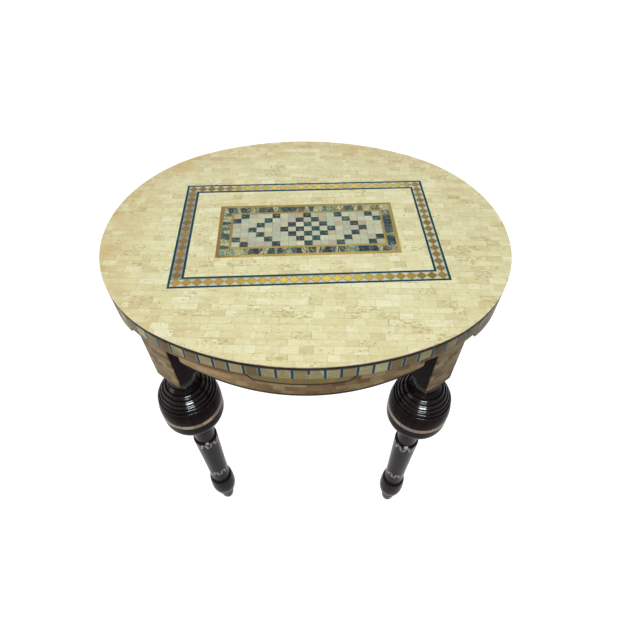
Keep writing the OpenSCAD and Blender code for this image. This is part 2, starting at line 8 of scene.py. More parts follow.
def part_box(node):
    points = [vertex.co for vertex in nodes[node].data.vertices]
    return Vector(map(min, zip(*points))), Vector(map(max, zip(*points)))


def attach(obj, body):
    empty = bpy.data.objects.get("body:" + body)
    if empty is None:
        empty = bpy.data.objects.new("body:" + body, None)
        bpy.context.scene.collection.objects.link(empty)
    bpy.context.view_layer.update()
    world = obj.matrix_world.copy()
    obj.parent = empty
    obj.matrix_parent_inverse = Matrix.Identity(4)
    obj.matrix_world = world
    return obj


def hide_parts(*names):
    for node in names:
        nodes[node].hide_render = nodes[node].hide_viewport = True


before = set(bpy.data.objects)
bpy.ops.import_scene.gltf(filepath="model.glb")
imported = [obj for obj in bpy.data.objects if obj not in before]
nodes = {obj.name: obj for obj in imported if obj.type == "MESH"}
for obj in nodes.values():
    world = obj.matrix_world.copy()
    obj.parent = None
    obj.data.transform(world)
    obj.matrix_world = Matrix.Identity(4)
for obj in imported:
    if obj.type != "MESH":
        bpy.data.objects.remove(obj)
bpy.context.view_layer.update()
print("frame loaded:", len(nodes), "nodes")

corners = ["front_left", "front_right", "back_left", "back_right"]
sides = ["front", "back", "left", "right"]


# the table's own measures in millimetres, read off the frame where it has them

def millimetres(node):
    low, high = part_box(node)
    return low * 1000, high * 1000


topLow, topHigh = millimetres("top_pearl_field")
halfWidth = (topHigh.y - topLow.y) / 2
endTighter = 16                   # the end arcs' radius is this much under half the width
oval = {
    "endRadius": halfWidth - endTighter,
    "barCount": 88,               # bars round the edge
    "barFoot": millimetres("edge_bars")[0].z,
    "bandTop": millimetres("edge_pearl_band")[1].z,
    "railFoot": millimetres("apron_front_pearl")[0].z,
    "railRadius": 568.0,          # curve of the rails' lower edge
    "legX": millimetres("glide_front_right")[0].x,
    "topFrom": 597,               # the inlay above this height is in the top
}
oval["endCentre"] = (topHigh.x - topLow.x) / 2 - oval["endRadius"]
oval["sideRadius"] = (
    (oval["endCentre"] ** 2 + halfWidth ** 2 - oval["endRadius"] ** 2)
    / (2 * (halfWidth - oval["endRadius"])))
oval["sideCentre"] = oval["sideRadius"] - halfWidth
oval["joint"] = math.atan2(oval["endCentre"], oval["sideCentre"])
oval["quarterSide"] = oval["sideRadius"] * oval["joint"]
oval["quarterEnd"] = oval["endRadius"] * (math.pi / 2 - oval["joint"])
oval["perimeter"] = 4 * (oval["quarterSide"] + oval["quarterEnd"])
oval["barPitch"] = oval["perimeter"] / oval["barCount"]

inlay = {
    "turn": 3.7, "x": 1.5, "y": 2.0,               # its place on the oval
    "rowLength": 358.6, "rowWidth": 186.4,         # the rows of diamonds
    "diamondsLong": 26, "diamondsShort": 14,
    "bandX": 172.75, "bandY": 99.75, "channel": 13.1,
    "cellLength": 11.19, "cellWidth": 10.09,       # checker cells
    "abaloneLong": 243.0, "abaloneShort": 77.6,    # rows of abalone and their pieces
    "piecesLong": 37, "piecesShort": 12,
    "abaloneInner": 38.8, "across": 11.7, "lean": 1.1,
}


# every random draw has its own seed
seeds = {
    "topTiles": 1.0, "innerTiles": 3.0, "tileRows": 9.0, "tileShift": 5.0,
    "bays": 5.0, "rows": 6.0, "gold": 3.0, "frames": 4.4,
    "abalone": 1.0, "darkCells": 2.0, "paleCells": 2.2,
}


# camera, as the photograph was taken

camera = {
    "place": (0.02142, -0.52217, 1.03601),
    "pitch": 50.74,            # degrees below the horizon
    "turn": -0.06,
    "roll": 0.89,
    "focalPixels": 470.1,      # in a frame 640 pixels wide
    "framePixels": 640,
}


def addCamera(look):
    pitch, turn, roll = (math.radians(look[name]) for name in ("pitch", "turn", "roll"))
    level = math.cos(pitch)
    ahead = Vector((math.sin(turn) * level, math.cos(turn) * level, -math.sin(pitch)))
    right = Vector((math.cos(turn), -math.sin(turn), 0))
    up = right.cross(ahead)
    rolledRight = math.cos(roll) * right + math.sin(roll) * up
    rolledUp = math.cos(roll) * up - math.sin(roll) * right
    data = bpy.data.cameras.new("camera")
    data.sensor_width = 36
    data.lens = data.sensor_width * look["focalPixels"] / look["framePixels"]
    data.clip_end = 50
    data.dof.use_dof = False
    placed = bpy.data.objects.new("camera", data)
    turned = Matrix((rolledRight, rolledUp, -ahead)).transposed().to_4x4()
    placed.matrix_world = Matrix.Translation(look["place"]) @ turned
    bpy.context.scene.collection.objects.link(placed)
    bpy.context.scene.camera = placed


addCamera(camera)
bpy.context.scene.view_settings.view_transform = "Standard"
print("camera set")


# a socket that reads as a number or a colour in a Python expression, and the tree that it is in

class Wire:
    def __init__(self, net, socket):
        self.net = net
        self.socket = socket

    def maths(self, operation, *others):
        return self.net.add("ShaderNodeMath", {"operation": operation}, [self, *others])

    def __add__(self, other):
        return self.maths("ADD", other)

    def __sub__(self, other):
        return self.maths("SUBTRACT", other)

    def __mul__(self, other):
        return self.maths("MULTIPLY", other)

    def __truediv__(self, other):
        return self.maths("DIVIDE", other)

    def __radd__(self, other):
        return self.maths("ADD", other)

    def __rmul__(self, other):
        return self.maths("MULTIPLY", other)

    def __rsub__(self, other):
        return self.net.add("ShaderNodeMath", {"operation": "SUBTRACT"}, [other, self])

    def __lt__(self, other):
        return self.maths("LESS_THAN", other)

    def __gt__(self, other):
        return self.maths("GREATER_THAN", other)

    def __abs__(self):
        return self.maths("ABSOLUTE")

    def floor(self):
        return self.maths("FLOOR")

    def part(self):
        return self.maths("FRACT")

    def atMost(self, other):
        return self.maths("MINIMUM", other)

    def atLeast(self, other):
        return self.maths("MAXIMUM", other)

    def choose(self, ifZero, ifOne):
        return ifZero + self * (ifOne - ifZero)

    def rise(self, low, high):
        # 0 below low, 1 above high, smooth between them
        return self.net.add("ShaderNodeMapRange", {"interpolation_type": "SMOOTHSTEP"},
                            [self, low, high, 0, 1])


class Net:
    def __init__(self, tree):
        self.tree = tree

    def add(self, kind, settings=None, values=(), out=0):
        node = self.tree.nodes.new(kind)
        for name, value in (settings or {}).items():
            if name == "stops":
                self.setStops(node.color_ramp, value)
            else:
                setattr(node, name, value)
        pairs = values.items() if isinstance(values, dict) else enumerate(values)
        for key, value in pairs:
            for one in value if isinstance(value, list) else [value]:
                if isinstance(one, Wire):
                    self.tree.links.new(one.socket, node.inputs[key])
                elif one is not None:
                    node.inputs[key].default_value = one
        return Wire(self, node.outputs[out]) if len(node.outputs) else None

    def setStops(self, ramp, stops):
        while len(ramp.elements) < len(stops):
            ramp.elements.new(1)
        for element, (place, colour) in zip(ramp.elements, stops):
            element.position = place
            element.color = (*colour, 1)

    def vector(self, x, y, z):
        return self.add("ShaderNodeCombineXYZ", {}, [x, y, z])

    def split(self, vector):
        return [self.add("ShaderNodeSeparateXYZ", {}, [vector], out=i) for i in range(3)]

    def chance(self, x, y, seed):
        # three random numbers, the same all over one cell
        white = self.add("ShaderNodeTexWhiteNoise", {"noise_dimensions": "3D"},
                         {"Vector": self.vector(x, y, seed)}, out=1)
        return self.split(white)


class Finish(Net):
    # one material
    def __init__(self, name):
        self.material = bpy.data.materials.new(name)
        self.material.use_nodes = True
        super().__init__(self.material.node_tree)
        self.tree.nodes.clear()
        self.output = self.tree.nodes.new("ShaderNodeOutputMaterial")

    def place(self):
        # object coordinates in millimetres
        metres = self.add("ShaderNodeTexCoord", out="Object")
        scaled = self.add("ShaderNodeVectorMath", {"operation": "SCALE"},
                          {0: metres, "Scale": 1000})
        return self.split(scaled)

    def noise(self, x, y, z, detail, roughness):
        return self.add("ShaderNodeTexNoise", {}, {"Vector": self.vector(x, y, z), "Scale": 1.0,
                                                   "Detail": detail, "Roughness": roughness})

    def pattern(self, point, look, moves=(None, None, None)):
        # noise with its own scale along each axis, moved by random numbers from piece to piece
        scales, detail, roughness = look
        axes = [axis * scale if move is None else axis * scale + move
                for axis, scale, move in zip(point, scales, moves)]
        return self.noise(*axes, detail, roughness)

    def ramp(self, factor, stops):
        return self.add("ShaderNodeValToRGB", {"stops": stops}, [factor])

    def mix(self, factor, first, second, blend="MIX"):
        first = (*first, 1) if isinstance(first, tuple) else first
        second = (*second, 1) if isinstance(second, tuple) else second
        return self.add("ShaderNodeMix", {"data_type": "RGBA", "blend_type": blend},
                        {0: factor, 6: first, 7: second}, out=2)

    def brighten(self, colour, amount):
        # colour times a number
        return self.mix(1.0, colour, self.vector(amount, amount, amount), "MULTIPLY")

    def bump(self, height, strength):
        # a height of 1 stands one millimetre out
        return self.add("ShaderNodeBump", {}, {"Strength": strength, "Distance": 0.001,
                                               "Height": height})

    def end(self, values):
        shader = self.add("ShaderNodeBsdfPrincipled", {}, values)
        self.tree.links.new(shader.socket, self.output.inputs["Surface"])
        return self.material


# where a point lies on the table

def turned(x, y, degrees):
    # x and y in axes turned by an angle
    cosine, sine = math.cos(math.radians(degrees)), math.sin(math.radians(degrees))
    return x * cosine + y * sine, y * cosine - x * sine


def onInlay(x, y):
    return turned(x - inlay["x"], y - inlay["y"], inlay["turn"])


def distance(x, y):
    return (x * x + y * y).maths("SQRT")


def alongEdge(x, y):
    # distance round the oval's edge from the middle of the front, negative on the left
    right, out = abs(x), abs(y)
    onSide = right.maths("ARCTAN2", out + oval["sideCentre"])
    onEnd = (right - oval["endCentre"]).maths("ARCTAN2", out)
    sideWay = onSide * oval["sideRadius"]
    endWay = (onEnd - oval["joint"]) * oval["endRadius"] + oval["quarterSide"]
    way = (onSide > oval["joint"]).choose(sideWay, endWay)
    fromFront = (y > 0).choose(way, oval["perimeter"] / 2 - way)
    return fromFront * ((x > 0) * 2 - 1)


def fromRim(x, y):
    # distance inwards from the oval's edge
    right, out = abs(x), abs(y)
    turn = right.maths("ARCTAN2", out + oval["sideCentre"])
    onSide = oval["sideRadius"] - distance(right, out + oval["sideCentre"])
    onEnd = oval["endRadius"] - distance(right - oval["endCentre"], out)
    return (turn > oval["joint"]).choose(onSide, onEnd)


# mother of pearl

creamPearl = {
    "tones": [                      # one tone for each tile, chosen by chance
        (0.00, (0.700, 0.650, 0.350)),
        (0.20, (0.742, 0.700, 0.382)),
        (0.50, (0.775, 0.746, 0.424)),
        (0.72, (0.800, 0.780, 0.460)),
        (0.88, (0.840, 0.828, 0.550)),
        (0.95, (0.660, 0.600, 0.315)),
        (1.00, (0.680, 0.580, 0.290)),
    ],
    "cloud": (0.58, 0.45, 0.19),
    "cloudiness": 0.26,
    "roughness": 0.34,
    "depth": (0.70, 0.34, 0.27),    # least brightness, and what the long and the fine lines add
}
brownPearl = {
    "tones": [
        (0.00, (0.220, 0.156, 0.070)),
        (0.16, (0.160, 0.102, 0.041)),
        (0.32, (0.255, 0.190, 0.088)),
        (0.48, (0.115, 0.062, 0.023)),
        (0.62, (0.290, 0.225, 0.110)),
        (0.76, (0.185, 0.122, 0.052)),
        (0.88, (0.135, 0.066, 0.027)),
        (1.00, (0.310, 0.240, 0.120)),
    ],
    "cloud": (0.090, 0.040, 0.015),
    "cloudiness": 0.75,
    "roughness": 0.36,
    "depth": (0.30, 0.85, 0.50),
}
bayPearl = {
    "tones": [
        (0.00, (0.190, 0.130, 0.060)),
        (0.12, (0.380, 0.345, 0.175)),
        (0.26, (0.115, 0.073, 0.028)),
        (0.40, (0.315, 0.275, 0.125)),
        (0.52, (0.185, 0.138, 0.062)),
        (0.64, (0.440, 0.410, 0.220)),
        (0.76, (0.145, 0.100, 0.050)),
        (0.88, (0.235, 0.185, 0.080)),
        (1.00, (0.400, 0.355, 0.185)),
    ],
    "cloud": (0.110, 0.062, 0.022),
    "cloudiness": 0.65,
    "roughness": 0.36,
    "depth": (0.35, 0.85, 0.40),
}


# how often the patterns in a tile come, along and across it, per millimetre, and how far they
# are moved from tile to tile, so that no two tiles look the same
growth = {
    "slant": 0.5,
    "lines": (0.035, 0.42), "linesMove": (40, 60),
    "grain": (0.14, 1.5), "grainMove": (30, 50),
    "clouds": (0.016, 0.022), "cloudEdge": (0.56, 0.84), "cloudChance": 0.16,
}


def shellColour(finish, u, v, dice, look, seed):
    # one shell tile: its tone, growth lines along it, and clouds that cross from tile to tile
    tone, first, second = dice
    colour = finish.ramp(tone, look["tones"])
    least, long, fine = look["depth"]
    slanted = v + u * (first - 0.5) * growth["slant"]
    (along, across), (moveAlong, moveAcross) = growth["lines"], growth["linesMove"]
    lines = finish.noise(
        u * along + second * moveAlong, slanted * across + tone * moveAcross, seed, 3, 0.6)
    (along, across), (moveAlong, moveAcross) = growth["grain"], growth["grainMove"]
    grain = finish.noise(
        u * along + tone * moveAlong, slanted * across + first * moveAcross, seed, 2, 0.6)
    colour = finish.brighten(colour, least + lines * long + grain * fine)
    along, across = growth["clouds"]
    clouds = finish.noise(u * along, v * across, seed + 2.5, 4, 0.6) + first * growth["cloudChance"]
    return finish.mix(clouds.rise(*growth["cloudEdge"]) * look["cloudiness"], colour, look["cloud"])


# the patterns on top of the tones: where each begins and is full, its strength and its colour
marks = {
    "milk": {"from": (0.48, 0.68), "strength": 0.55, "colour": (0.84, 0.82, 0.60)},
    "honey": {"from": (0.50, 0.68), "strength": 0.55, "colour": (0.68, 0.585, 0.270)},
    "swirl": {"from": (0.46, 0.62), "strength": 0.75, "colour": (0.47, 0.35, 0.145), "over": 0.85},
    "fleck": {"from": (0.62, 0.70), "strength": 0.7, "colour": (0.30, 0.20, 0.08), "under": 0.4},
    "rim": {"from": (0.30, 0.58), "colour": (0.62, 0.44, 0.18), "reach": (4, 80),
            "behind": (-120, 160)},
}


def flecks(finish, colour, x, y, dice, seed):
    # milky and honey clouds, some tiles with brown swirls, and here and there a fleck as in the
    # heart of a shell
    tone, first, second = dice

    def mark(name, pattern, chosen=1):
        look = marks[name]
        amount = pattern.rise(*look["from"]) * chosen * look["strength"]
        return finish.mix(amount, colour, look["colour"])

    colour = mark("milk", finish.noise(x * 0.10 + tone * 50, y * 0.16, first * 30 + seed, 3, 0.65))
    colour = mark("honey", finish.noise(x * 0.07, y * 0.13, tone * 8 + seed, 4, 0.7))
    colour = mark("swirl", finish.noise(x * 0.16 + first * 9, y * 0.30, second * 20 + seed, 3, 0.7),
                  second > marks["swirl"]["over"])
    return mark("fleck", finish.noise(x * 0.20, y * 0.26, seed + 4.0, 2, 0.6),
                second < marks["fleck"]["under"])


def tileFinish(name, seed, locate=None, rimWarmth=0.0):
    # for the pieces cut by tileTree, each of which knows its own cell
    finish = Finish(name)
    x, y = finish.place()[:2]
    u, v = locate(x, y) if locate else (x, y)
    cell = finish.add("ShaderNodeAttribute", {"attribute_name": "tile"}, out="Vector")
    column, row = finish.split(cell)[:2]
    dice = finish.chance((column + 0.5).floor(), (row + 0.5).floor(), seed)
    colour = shellColour(finish, u, v, dice, creamPearl, seed)
    colour = flecks(finish, colour, u, v, dice, seed)
    if rimWarmth:
        # tan tiles along the rim, most at the back and the left
        look = marks["rim"]
        patch = finish.noise(x * 0.03, y * 0.03, dice[0] * 2, 3, 0.6).rise(*look["from"])
        behind = (y * 0.7 - x * 0.5).rise(*look["behind"]) * 0.85 + 0.2
        near = 1 - fromRim(x, y).rise(*look["reach"])
        amount = near * patch * behind * (dice[1] * 0.6 + 0.4) * rimWarmth
        colour = finish.mix(amount, colour, look["colour"])
    cloudy = finish.noise(u * 0.09, v * 0.09, seed, 3, 0.6)
    return finish.end({
        "Base Color": colour,
        "Roughness": creamPearl["roughness"] + cloudy * 0.14,
        "Normal": finish.bump(cloudy, 0.05),
        "IOR": 1.5,
        "Coat Weight": 0.15,
        "Coat Roughness": 0.2,
    })


# the tiles of the top: a running bond cut to the shape of a field of the top

tiles = {
    "length": 21.0,
    "width": 10.4,
    "joint": 0.30,
    "play": 0.46,            # how far a joint may lie off its place, in tile lengths
    "rowPlay": 0.20,         # the same between rows, in tile widths
    "resinDepth": 0.12,      # resin in the joints, below the face of the tiles
    "columns": 33,
    "rows": 51,
    "topPlace": (0, 3),      # middle of the top's bond
}


def tileTree():
    tree = bpy.data.node_groups.new("pearlTiles", "GeometryNodeTree")
    kinds = {"Length": "Float", "Width": "Float", "Joint": "Float", "Play": "Float",
             "Row play": "Float", "Thickness": "Float", "Columns": "Int", "Rows": "Int",
             "Seed": "Float", "Place": "Vector", "Turn": "Vector", "Field": "Object",
             "Finish": "Material"}
    for name, kind in kinds.items():
        tree.interface.new_socket(name, in_out="INPUT", socket_type="NodeSocket" + kind)
    tree.interface.new_socket("Geometry", in_out="OUTPUT", socket_type="NodeSocketGeometry")
    net = Net(tree)
    group = tree.nodes.new("NodeGroupInput")
    given = {name: Wire(net, group.outputs[name]) for name in kinds}

    # a grid whose points stand at whole numbers, one for each tile
    grid = net.add("GeometryNodeMeshGrid", {}, {
        "Size X": given["Columns"] - 1, "Size Y": given["Rows"] - 1,
        "Vertices X": given["Columns"], "Vertices Y": given["Rows"]})
    here = net.add("GeometryNodeInputPosition")
    cells = net.add(
        "GeometryNodeStoreNamedAttribute", {"data_type": "FLOAT_VECTOR", "domain": "POINT"},
        {"Geometry": grid, "Name": "cell", "Value": here})
    cell = net.add("GeometryNodeInputNamedAttribute", {"data_type": "FLOAT_VECTOR"},
                   {"Name": "cell"})
    column, row = net.split(cell)[:2]

    # each tile runs from one joint to the next
    def jointAfter(column):
        dice = net.chance(column, row, given["Seed"])
        return column + (dice[0] - 0.5) * given["Play"]

    def rowAfter(row):
        dice = net.chance(row, given["Seed"], seeds["tileRows"])
        return row + (dice[1] - 0.5) * given["Row play"]

    start, end = jointAfter(column), jointAfter(column + 1)
    low, high = rowAfter(row), rowAfter(row + 1)
    shift = ((row * 0.5).part()
             + net.chance(row, given["Seed"], seeds["tileShift"])[0] * given["Play"])
    centre = net.vector(((start + end) * 0.5 + shift) * given["Length"],
                        (low + high) * 0.5 * given["Width"], 0)
    size = net.vector((end - start) * given["Length"] - given["Joint"],
                      (high - low) * given["Width"] - given["Joint"], 1)
    points = net.add("GeometryNodeSetPosition", {}, {"Geometry": cells, "Position": centre})
    box = net.add("GeometryNodeMeshCube", {}, {"Size": net.vector(1, 1, given["Thickness"])})
    placed = net.add("GeometryNodeInstanceOnPoints", {},
                     {"Points": points, "Instance": box, "Scale": size})
    pieces = net.add("GeometryNodeRealizeInstances", {}, {"Geometry": placed})
    named = net.add(
        "GeometryNodeStoreNamedAttribute", {"data_type": "FLOAT_VECTOR", "domain": "FACE"},
        {"Geometry": pieces, "Name": "tile", "Value": cell})
    laid = net.add("GeometryNodeTransform", {}, {"Geometry": named, "Translation": given["Place"],
                                                 "Rotation": given["Turn"]})

    # cut along the edges of the field
    field = net.add("GeometryNodeObjectInfo", {}, {"Object": given["Field"]}, out="Geometry")
    cut = net.add("GeometryNodeMeshBoolean", {"operation": "INTERSECT", "solver": "EXACT"},
                  {1: [laid, field]})
    whole = net.add("GeometryNodeRealizeInstances", {}, {"Geometry": cut})
    done = net.add("GeometryNodeSetMaterial", {}, {"Geometry": whole, "Material": given["Finish"]})
    net.add("NodeGroupOutput", {}, {"Geometry": done})
    return tree


def reshapedCopy(name, node, height):
    # a closed copy of a node's mesh, its points' heights changed by a function
    shape = bmesh.new()
    shape.from_mesh(nodes[node].data)
    bmesh.ops.remove_doubles(shape, verts=shape.verts, dist=1e-6)
    for vertex in shape.verts:
        vertex.co.z = height(vertex.co.z)
    mesh = bpy.data.meshes.new(name)
    shape.to_mesh(mesh)
    shape.free()
    mesh.shade_flat()
    return mesh


def addPiece(name, mesh):
    piece = bpy.data.objects.new(name, mesh)
    bpy.context.scene.collection.objects.link(piece)
    return piece


def layTiles(name, node, tree, finish, resin, seed, place, turn):
    low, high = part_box(node)
    middle = (low.z + high.z) / 2
    # the field's own outline, made higher so that it cuts only at the tiles' sides
    taller = 3
    room = addPiece(name + "Room", reshapedCopy(
        name + "Room", node, lambda z: middle + taller * (z - middle)))
    piece = addPiece(name, bpy.data.meshes.new(name))
    laying = piece.modifiers.new("laying", "NODES")
    laying.node_group = tree
    thickness = high.z - low.z
    inputs = {
        "Length": tiles["length"] / 1000, "Width": tiles["width"] / 1000,
        "Joint": tiles["joint"] / 1000, "Thickness": thickness,
        "Play": tiles["play"], "Row play": tiles["rowPlay"],
        "Columns": tiles["columns"], "Rows": tiles["rows"], "Seed": seed,
        "Place": (place[0] / 1000, place[1] / 1000, middle),
        "Turn": (0.0, 0.0, math.radians(turn)), "Field": room, "Finish": finish,
    }
    sockets = {item.name: item.identifier for item in tree.interface.items_tree
               if item.in_out == "INPUT"}
    for key, value in inputs.items():
        laying[sockets[key]] = value
    piece.update_tag()
    evaluated = piece.evaluated_get(bpy.context.evaluated_depsgraph_get())
    mesh = bpy.data.meshes.new_from_object(evaluated)
    piece.modifiers.remove(laying)
    piece.data = mesh
    mesh.name = name
    mesh.shade_flat()
    bpy.data.objects.remove(room)
    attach(piece, "root")
    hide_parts(node)

    # resin under and between the tiles
    bedTop = high.z - tiles["resinDepth"] / 1000
    bed = addPiece(name + "Resin", reshapedCopy(name + "Resin", node, lambda z: min(z, bedTop)))
    bed.data.materials.append(resin)
    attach(bed, "root")
    print(name, len(mesh.polygons), "faces")


# in each finish's dictionary a pattern is its scales along three axes, detail and roughness
resinLook = {
    "tones": [(0.35, (0.60, 0.54, 0.31)), (0.55, (0.46, 0.38, 0.20)), (0.68, (0.20, 0.14, 0.07))],
    "patch": ((0.05, 0.05, 0.05), 3, 0.6),
}


def resinFinish():
    finish = Finish("jointResin")
    patch = finish.pattern(finish.place(), resinLook["patch"])
    return finish.end({
        "Base Color": finish.ramp(patch, resinLook["tones"]),
        "Roughness": 0.45 + patch * 0.2,
        "Normal": finish.bump(patch, 0.1),
    })


pearlTree = tileTree()
resin = resinFinish()
layTiles("topTiles", "top_pearl_field", pearlTree,
         tileFinish("topPearl", seeds["topTiles"], rimWarmth=0.75), resin,
         seeds["topTiles"], tiles["topPlace"], 0)
layTiles("innerTiles", "inner_pearl_field", pearlTree,
         tileFinish("innerPearl", seeds["innerTiles"], onInlay), resin,
         seeds["innerTiles"], (inlay["x"], inlay["y"]), inlay["turn"])


# the shell round the edge, on the aprons and on the legs' blocks

edgeTile = {
    "length": 15.0, "width": 9.0, "play": 0.3, "joint": 0.22,
    "jointColour": (0.07, 0.045, 0.025), "jointStrength": 0.6,
    "cloudy": ((0.12, 0.12, 0.12), 3, 0.6),
}
strip = {
    # the front's strip of diamonds, with the glue round its string
    "halfLength": 3.5 * oval["barPitch"], "height": 13.0, "slant": 11.0,
    "square": 0.76,                # cosine of the slanted ends
    "glue": 0.8, "glueColour": (0.008, 0.005, 0.004),
}
edgeLines = {
    # where the lines lie, in millimetres
    "besideBar": (1.4, 1.9, 2.5, 3.2), "besideColour": (0.34, 0.40, 0.38), "besideStrength": 0.4,
    "overLowEdge": (1.5, 2.6), "underRim": (-2.1, -1.2), "darkColour": (0.026, 0.012, 0.008),
    # the left end's reach of painted light and tan, and the right end's reach of painted shade
    "litAndTanLeftEnd": (30, 120), "shadedRightEnd": (60, 180),
    "leftColour": (0.32, 0.25, 0.15), "leftStrength": 0.4,
}


def edgeFinish(name, look):
    # bays between the bars above, rows of brown tiles below them
    finish = Finish(name)
    x, y, z = finish.place()
    u = alongEdge(x, y)
    below = z < oval["barFoot"]
    bay = u / oval["barPitch"] + 0.5
    bayDice = finish.chance(bay.floor(), 0, seeds["bays"])
    row = ((oval["barFoot"] - z) / edgeTile["width"]).floor()
    play = finish.chance(row, 1.0, seeds["rows"])[0] * edgeTile["play"]
    course = u / edgeTile["length"] + row * 0.5 + play
    rowDice = finish.chance(course.floor(), row, seeds["rows"])
    bays = shellColour(finish, u, z, bayDice, bayPearl, seeds["bays"])
    brown = shellColour(finish, u, z, rowDice, brownPearl, seeds["rows"])

    # pale lines on both sides of a bar
    toBar = (0.5 - abs(bay.part() - 0.5)) * oval["barPitch"]
    near, full, fading, far = edgeLines["besideBar"]
    paleLine = toBar.rise(near, full) * (1 - toBar.rise(fading, far))
    bays = finish.mix(paleLine * edgeLines["besideStrength"], bays, edgeLines["besideColour"])
    colour = finish.mix(below, bays, brown)

    acrossRow = ((oval["barFoot"] - z) / edgeTile["width"]).part()
    toEnd = course.part().atMost(1 - course.part()) * edgeTile["length"]
    toSide = acrossRow.atMost(1 - acrossRow) * edgeTile["width"]
    joint = (1 - toEnd.atMost(toSide).rise(edgeTile["joint"] * 0.5, edgeTile["joint"] * 2)) * below

    # black glue round the string of the front's strip
    down = oval["barFoot"] - z
    underStrip = (u * u * (0.5 / oval["railRadius"]) - strip["height"]) + down
    slope = strip["slant"] / strip["height"]
    besideStrip = (abs(u) - strip["halfLength"] + down * slope) * strip["square"]
    fromStrip = underStrip.atLeast(besideStrip)
    atFront = (y < 0) * below
    glue = (1 - fromStrip.rise(strip["glue"] * 0.6, strip["glue"] * 1.2)) * atFront
    colour = finish.mix(joint * edgeTile["jointStrength"], colour, edgeTile["jointColour"])
    colour = finish.mix(glue, colour, strip["glueColour"])

    # painted light makes the shell paler towards the left end, where it is also tanner, and painted
    # shade darkens it towards the right end; dark lines under the rim and along the lower edge of
    # the rails
    litAndTanLeft = (0 - x).rise(*edgeLines["litAndTanLeftEnd"]) * look["litAndTanLeftEnd"]
    shadedRight = x.rise(*edgeLines["shadedRightEnd"]) * look["shadedRightEnd"]
    colour = finish.brighten(colour, look["level"] + litAndTanLeft + shadedRight)
    fromMiddle = (abs(x) < oval["legX"]).choose(y, x)
    overLowEdge = z - oval["railFoot"] - fromMiddle * fromMiddle * (0.5 / oval["railRadius"])
    lowLine = (1 - overLowEdge.rise(*edgeLines["overLowEdge"])) * look["lowLine"]
    topLine = (z - oval["bandTop"]).rise(*edgeLines["underRim"]) * look["topLine"]
    colour = finish.mix(litAndTanLeft * edgeLines["leftStrength"], colour, edgeLines["leftColour"])
    colour = finish.mix(lowLine.atLeast(topLine), colour, edgeLines["darkColour"])
    cloudy = finish.pattern((x, y, z), edgeTile["cloudy"])
    return finish.end({
        "Base Color": colour,
        "Roughness": brownPearl["roughness"] + cloudy * 0.12,
        "Normal": finish.bump(cloudy * 0.1 - joint * 0.15, 0.5),
        "Specular IOR Level": 0.04,
    })


# the other inlays

def diamondCell(u, v):
    # which diamond of the border, and how near its outline: 1 on the line, less inside
    longRow = abs(v) > inlay["bandY"] - inlay["channel"] / 2
    longPitch = inlay["rowLength"] / inlay["diamondsLong"]
    shortPitch = inlay["rowWidth"] / inlay["diamondsShort"]
    alongLong = u / longPitch + inlay["diamondsLong"] / 2
    alongShort = v / shortPitch + inlay["diamondsShort"] / 2
    longMeasure = abs(alongLong.part() - 0.5) + abs(abs(v) - inlay["bandY"]) / inlay["channel"]
    shortMeasure = abs(alongShort.part() - 0.5) + abs(abs(u) - inlay["bandX"]) / inlay["channel"]
    measure = longRow.choose(shortMeasure, longMeasure) * 2
    number = longRow.choose(alongShort.floor() + 50, alongLong.floor())
    side = longRow.choose(u > 0, v > 0)
    return number, side + longRow * 2, measure


gold = {
    "dull": (0.255, 0.160, 0.028), "bright": (0.74, 0.55, 0.080), "inStrip": (0.180, 0.122, 0.014),
    # the front row's left part
    "orange": (0.52, 0.31, 0.045), "orangeFrom": (40, 130), "orangeStrength": 0.75,
    # where the long rows lose their light
    "frontMiddle": 5, "frontFade": (35, 165),
    "backMiddle": 20, "backLeft": (-120, -30), "backRight": (130, 180),
    "outline": (0.10, 0.06, 0.02), "outlineFrom": (0.80, 0.98), "outlineStrength": 0.5,
    "grain": ((0.35, 0.35, 0.3), 3, 0.65), "grainMove": (20, 9),
    # least brightness, what the grain adds, and what chance adds from piece to piece
    "light": (0.58, 0.56, 0.24), "chance": 0.3,
}


def goldFinish():
    # golden shell: bright in the middle of the long rows, browner at the ends and in the short rows
    finish = Finish("goldInlay")
    x, y, z = finish.place()
    u, v = onInlay(x, y)
    number, side, measure = diamondCell(u, v)
    tone, first, second = finish.chance(number, side, seeds["gold"])
    frontRow = (v < 0) * (1 - abs(u + gold["frontMiddle"]).rise(*gold["frontFade"]))
    fromLeft = (u + gold["backMiddle"]).rise(*gold["backLeft"])
    backRow = (v > 0) * fromLeft * (1 - u.rise(*gold["backRight"]))
    inRow = abs(v) > inlay["bandY"] - inlay["channel"] / 2
    onTop = z > oval["topFrom"]
    bright = (frontRow + backRow) * inRow + (tone - 0.5) * gold["chance"]
    colour = finish.mix(bright.atMost(1).atLeast(0) * onTop, gold["dull"], gold["bright"])
    orange = (v < 0) * (0 - u).rise(*gold["orangeFrom"]) * inRow * onTop
    colour = finish.mix(orange * gold["orangeStrength"], colour, gold["orange"])
    colour = finish.mix(z < oval["topFrom"], colour, gold["inStrip"])
    moveX, moveZ = gold["grainMove"]
    grain = finish.pattern((x, y, z), gold["grain"], (tone * moveX, None, first * moveZ))
    least, fromGrain, fromChance = gold["light"]
    colour = finish.brighten(colour, least + grain * fromGrain + second * fromChance)
    outline = measure.rise(*gold["outlineFrom"]) * onTop * gold["outlineStrength"]
    colour = finish.mix(outline, colour, gold["outline"])
    return finish.end({
        "Base Color": colour,
        "Roughness": 0.28 + grain * 0.14,
        "Normal": finish.bump(grain, 0.12),
        "Specular IOR Level": 0.06,
        "Coat Weight": onTop * 0.8,
        "Coat Roughness": 0.25,
    })


